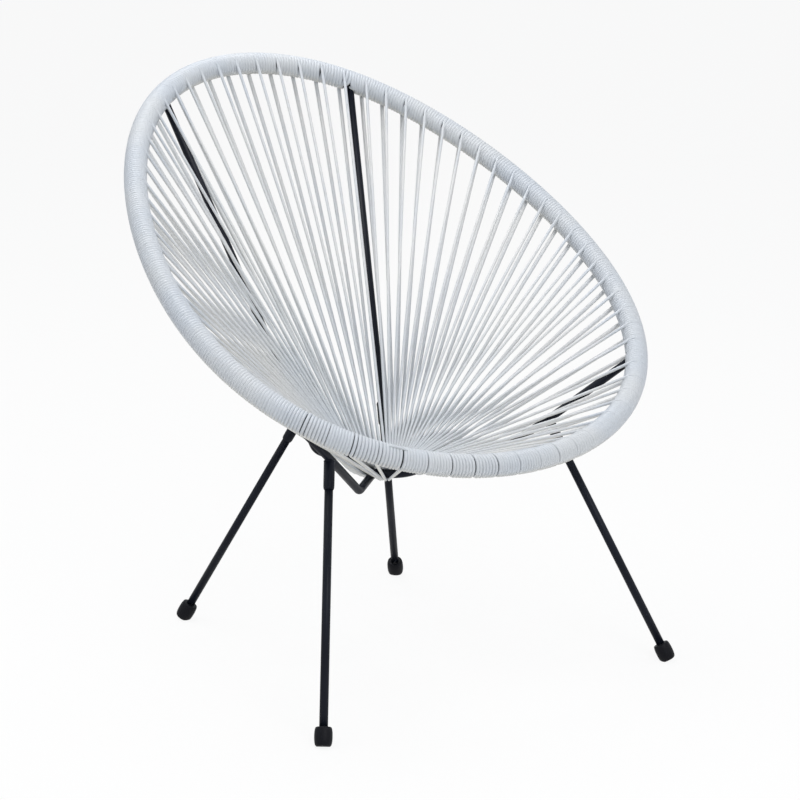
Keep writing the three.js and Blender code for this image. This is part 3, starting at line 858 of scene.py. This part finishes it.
def tail_line(place):
    """The cord's end, tucked along under the turns on the seat side of the rim."""
    line = []
    for step in range(TAIL_STEPS + 1):
        share = step / TAIL_STEPS
        centre, _, outward = hoop_frame(place + TAIL_START + share * TAIL_LENGTH)
        rise = TAIL_RISE * math.sin(math.pi * share) ** TAIL_FLATNESS
        radius = RIM_RADIUS - TAIL_DEPTH + rise
        line.append((centre + radius * side_of_tube(TAIL_SIDE, outward), TAIL_THICKNESS))
    return line


# %% [markdown]
# ## The four windings
# A bay's helix passes stops: the bar at its start, its strands, and the bar at its end. At each stop it
# has to know on which side of the tube the bar or strand leaves.

# %% The four windings
BAR_SIDES_OF_BAYS = {"front": (-1, 1), "right": (1, 1), "back": (1, -1), "left": (-1, -1)}


def bar_stop(place, sign):
    joint = FRONT_JOINT if abs(place) == ROD_PLACE else REAR_JOINT
    return place, lean_of(place, mirrored(joint, sign))


for bay_name, bay in BAYS.items():
    signs = BAR_SIDES_OF_BAYS[bay_name]
    strand_stops = [(s.place, lean_of(s.place, ring_frame(s.upper)[0])) for s in STRANDS[bay_name]]
    stops = [bar_stop(bay.start, signs[0]), *strand_stops, bar_stop(bay.end, signs[1])]
    gaps = [gaps_at(bay_name, i / len(stops)) for i in range(len(stops))]
    lines = [(winding_line(bay_name, stops, gaps), False)]
    if bay_name == "front":
        lines.append((tail_line(stops[TAIL_STOP][0]), False))
    cord_piece(f"wound_cord_{bay_name}", lines, f"rim_winding_{bay_name}")

# %% [markdown]
# ## The strands
# Each doubled place holds a belt of cord: it comes up from under the ring along the bowl's underside,
# passes round the outside of the hoop as one turn of the winding, leaves it along a tangent over the
# seat's side, runs down to the ring and goes round its inside. The belt is drawn as it lies: two half
# turns, joined by straight runs. A single strand goes a little further round both, and its ends dip
# between the turns.

# %% Half turns round hoop and ring
HOOP_TURN_STEPS = 16
RING_TURN_STEPS = 12
PROUD = 0.6 * MM
SINK_OVER = 0.5
NUDGE = 0.5 * MM
RING_THICKNESS = 0.93
SINGLE_HOOP_TURN = 1.12 * math.pi
SINGLE_RING_TURN = 0.62 * math.pi
END_DEPTH = 3 * MM
END_FROM = math.radians(150)
END_OVER = math.radians(50)


def upright(tangent, along, side):
    """The direction square to a bar and to a strand that meets it, on a given side."""
    up = tangent.cross(along).normalized()
    return up if up.dot(side) > 0 else -up


def run_of(strand):
    """The direction from a strand's place on the hoop to its place on the ring."""
    return (ring_frame(strand.upper)[0] - hoop_frame(strand.place)[0]).normalized()


def turn_round_hoop(strand, pressed):
    """From the seat's side of the hoop round its outside to its underside."""
    centre, tangent, _ = hoop_frame(strand.place)
    up = upright(tangent, run_of(strand), SEAT_NORMAL)
    away = upright(tangent, up, -run_of(strand))
    nudge = random.uniform(-1, 1) * NUDGE
    last = math.pi if strand.doubled else SINGLE_HOOP_TURN
    line = []
    for i in range(HOOP_TURN_STEPS + 1):
        turn = last * i / HOOP_TURN_STEPS
        sunk = smooth_step(math.sin(turn) / SINK_OVER) if turn < math.pi / 2 else 1
        share = 1 + (pressed - 1) * sunk
        radius = RIM_RADIUS - CORD_RADIUS * share + PROUD * (1 - sunk)
        if not strand.doubled:
            radius -= END_DEPTH * smooth_step((turn - END_FROM) / END_OVER)
        slide = (turn / math.pi - 0.5) * TURN_PITCH / 2 + nudge * (1 - sunk)
        spoke = math.cos(turn) * up + math.sin(turn) * away
        line.append((centre + slide * tangent + radius * spoke, share))
    return line


def turn_round_ring(strand, lift):
    """From the top of the ring round its inside to its underside."""
    _, tangent = ring_frame(strand.upper)
    up = upright(tangent, run_of(strand), RING_AXIS)
    inside = upright(tangent, up, run_of(strand))
    radius = BAR_RADIUS + CORD_RADIUS * RING_THICKNESS + lift
    last = math.pi if strand.doubled else SINGLE_RING_TURN
    line = []
    for i in range(RING_TURN_STEPS + 1):
        turn = last * i / RING_TURN_STEPS
        centre = ring_frame(strand.upper + (strand.lower - strand.upper) * turn / math.pi)[0]
        spoke = math.cos(turn) * up + math.sin(turn) * inside
        line.append((centre + radius * spoke, RING_THICKNESS))
    return line


print("a belt has", HOOP_TURN_STEPS + RING_TURN_STEPS + 2, "points")

# %% [markdown]
# ## The strands in groups
# Five neighbouring places make one piece, as in the CAD model. At the ring the cords crowd, and on the
# real chair they climb on each other, so every second one is lifted a little.

# %% The strands in groups
PLACES_PER_PIECE = 5
RING_LIFT = 0.7 * MM

for bay_name, strands in STRANDS.items():
    for first in range(0, len(strands), PLACES_PER_PIECE):
        lines = []
        for i, strand in enumerate(strands[first : first + PLACES_PER_PIECE]):
            hoop_turn = turn_round_hoop(strand, pressed_at(bay_name, strand.place))
            ring_turn = turn_round_ring(strand, i % 2 * RING_LIFT)
            lines.append(([*reversed(hoop_turn), *ring_turn], strand.doubled))
        number = first // PLACES_PER_PIECE + 1
        cord_piece(f"strung_cord_{bay_name}_{number}", lines, f"seat_strands_{bay_name}_{number}")

# %% [markdown]
# ## The camera
# The photograph was taken from the chair's front left, a little above the seat, with a long lens and a
# slight roll. The camera stands where the chair's outline falls on the photograph's. A constraint could
# aim it at the chair, but the roll would then be lost, so its three directions go into its matrix.

# %% The camera
CAMERA_PLACE = Vector((-2316.67, -3142.89, 1438.62)) * MM
CAMERA_AZIMUTH = math.radians(-37.02)
CAMERA_ELEVATION = math.radians(15.42)
CAMERA_ROLL = math.radians(1.84)
LENS_LENGTH = 124.35
SENSOR_WIDTH = 36
SIGHT = 100

back = Vector((
    math.sin(CAMERA_AZIMUTH) * math.cos(CAMERA_ELEVATION),
    -math.cos(CAMERA_AZIMUTH) * math.cos(CAMERA_ELEVATION),
    math.sin(CAMERA_ELEVATION),
))
level = Vector((math.cos(CAMERA_AZIMUTH), math.sin(CAMERA_AZIMUTH), 0))
rise = back.cross(level)
right = math.cos(CAMERA_ROLL) * level + math.sin(CAMERA_ROLL) * rise
upward = math.cos(CAMERA_ROLL) * rise - math.sin(CAMERA_ROLL) * level

lens = bpy.data.cameras.new("camera")
lens.lens = LENS_LENGTH
lens.sensor_width = SENSOR_WIDTH
lens.clip_end = SIGHT
camera = bpy.data.objects.new("camera", lens)
camera.matrix_world = Matrix.Translation(CAMERA_PLACE) @ Matrix((right, upward, back)).transposed().to_4x4()
bpy.context.collection.objects.link(camera)
bpy.context.scene.camera = camera
print("the camera stands", round((CAMERA_PLACE - HOOP_CENTRE).length, 2), "m from the hoop")

# %% [markdown]
# ## Floor and world
# The photograph's floor and wall are pure white. More light would bleach the chair as well, so the floor
# and the world show their white only to the camera and in reflections, and keep a plain level as light.
# The floor stays a little of a real floor, which keeps the chair's shadow.

# %% Floor and world
FLOOR_HALF_WIDTH = 30
FLOOR_SHADE = 0.9
FLOOR_ROUGHNESS = 0.9
FLOOR_GLOW = 1.0
SHOWN_WHITE = 0.9
SKY_COLOUR = (0.93, 0.965, 1, 1)
SKY_LIGHT = 0.4
SKY_SHOWN = 1.0


def shown(tree):
    """1 for what the camera sees, straight or in a reflection, and 0 for light on the chair."""
    path = tree.nodes.new("ShaderNodeLightPath")
    return Field(tree, path.outputs["Is Camera Ray"]) + Field(tree, path.outputs["Is Glossy Ray"])


def floor_finish():
    material = bpy.data.materials.new("white_floor")
    material.use_nodes = True
    tree = material.node_tree
    shader = tree.nodes["Principled BSDF"]
    shader.inputs["Base Color"].default_value = (FLOOR_SHADE, FLOOR_SHADE, FLOOR_SHADE, 1)
    shader.inputs["Roughness"].default_value = FLOOR_ROUGHNESS
    glow = add_node(tree, "ShaderNodeEmission", None, {"Strength": FLOOR_GLOW})
    mixed = add_node(tree, "ShaderNodeMixShader", None, {0: shown(tree) * SHOWN_WHITE})
    tree.links.new(shader.outputs[0], mixed.socket.node.inputs[1])
    tree.links.new(glow.socket, mixed.socket.node.inputs[2])
    tree.links.new(mixed.socket, tree.nodes["Material Output"].inputs["Surface"])
    return material


floor_body = bmesh.new()
bmesh.ops.create_grid(floor_body, x_segments=1, y_segments=1, size=FLOOR_HALF_WIDTH)
floor_mesh = bpy.data.meshes.new("floor")
floor_body.to_mesh(floor_mesh)
floor_body.free()
floor_mesh.materials.append(floor_finish())
floor = bpy.data.objects.new("floor", floor_mesh)
bpy.context.collection.objects.link(floor)

world = bpy.data.worlds.new("studio")
bpy.context.scene.world = world
world.use_nodes = True
backdrop = world.node_tree.nodes["Background"]
backdrop.inputs["Color"].default_value = SKY_COLOUR
strength = between(shown(world.node_tree).above(0, 1), SKY_LIGHT, SKY_SHOWN)
world.node_tree.links.new(strength.socket, backdrop.inputs["Strength"])
print("floor and world are white")

# %% [markdown]
# ## Lamps
# Broad soft lamps stand around the chair as in a studio: the key in front, one over the back for the
# rim's top, and two weak ones that lift the sides. Bigger lamps would lose the shading of the turns, and
# smaller ones would throw hard shadows of the strands.

# %% Lamps
LAMP_TARGET = Vector((0, 0, 0.4))
LAMPS = {
    "key": ((-0.4, -2.6, 2.4), 1.6, 40),
    "fill": ((2.2, -1.2, 1.6), 1.8, 5),
    "top": ((-0.2, 0.8, 2.8), 1.6, 37),
    "left": ((-2.6, 0.1, 1.5), 1.6, 7),
}

for name, (place, size, power) in LAMPS.items():
    data = bpy.data.lights.new(name, "AREA")
    data.size = size
    data.energy = power
    lamp = bpy.data.objects.new(name, data)
    lamp.location = place
    lamp.rotation_euler = (LAMP_TARGET - lamp.location).to_track_quat("-Z", "Y").to_euler()
    bpy.context.collection.objects.link(lamp)
bpy.context.scene.view_settings.view_transform = "Standard"
print(len(LAMPS), "lamps stand around")
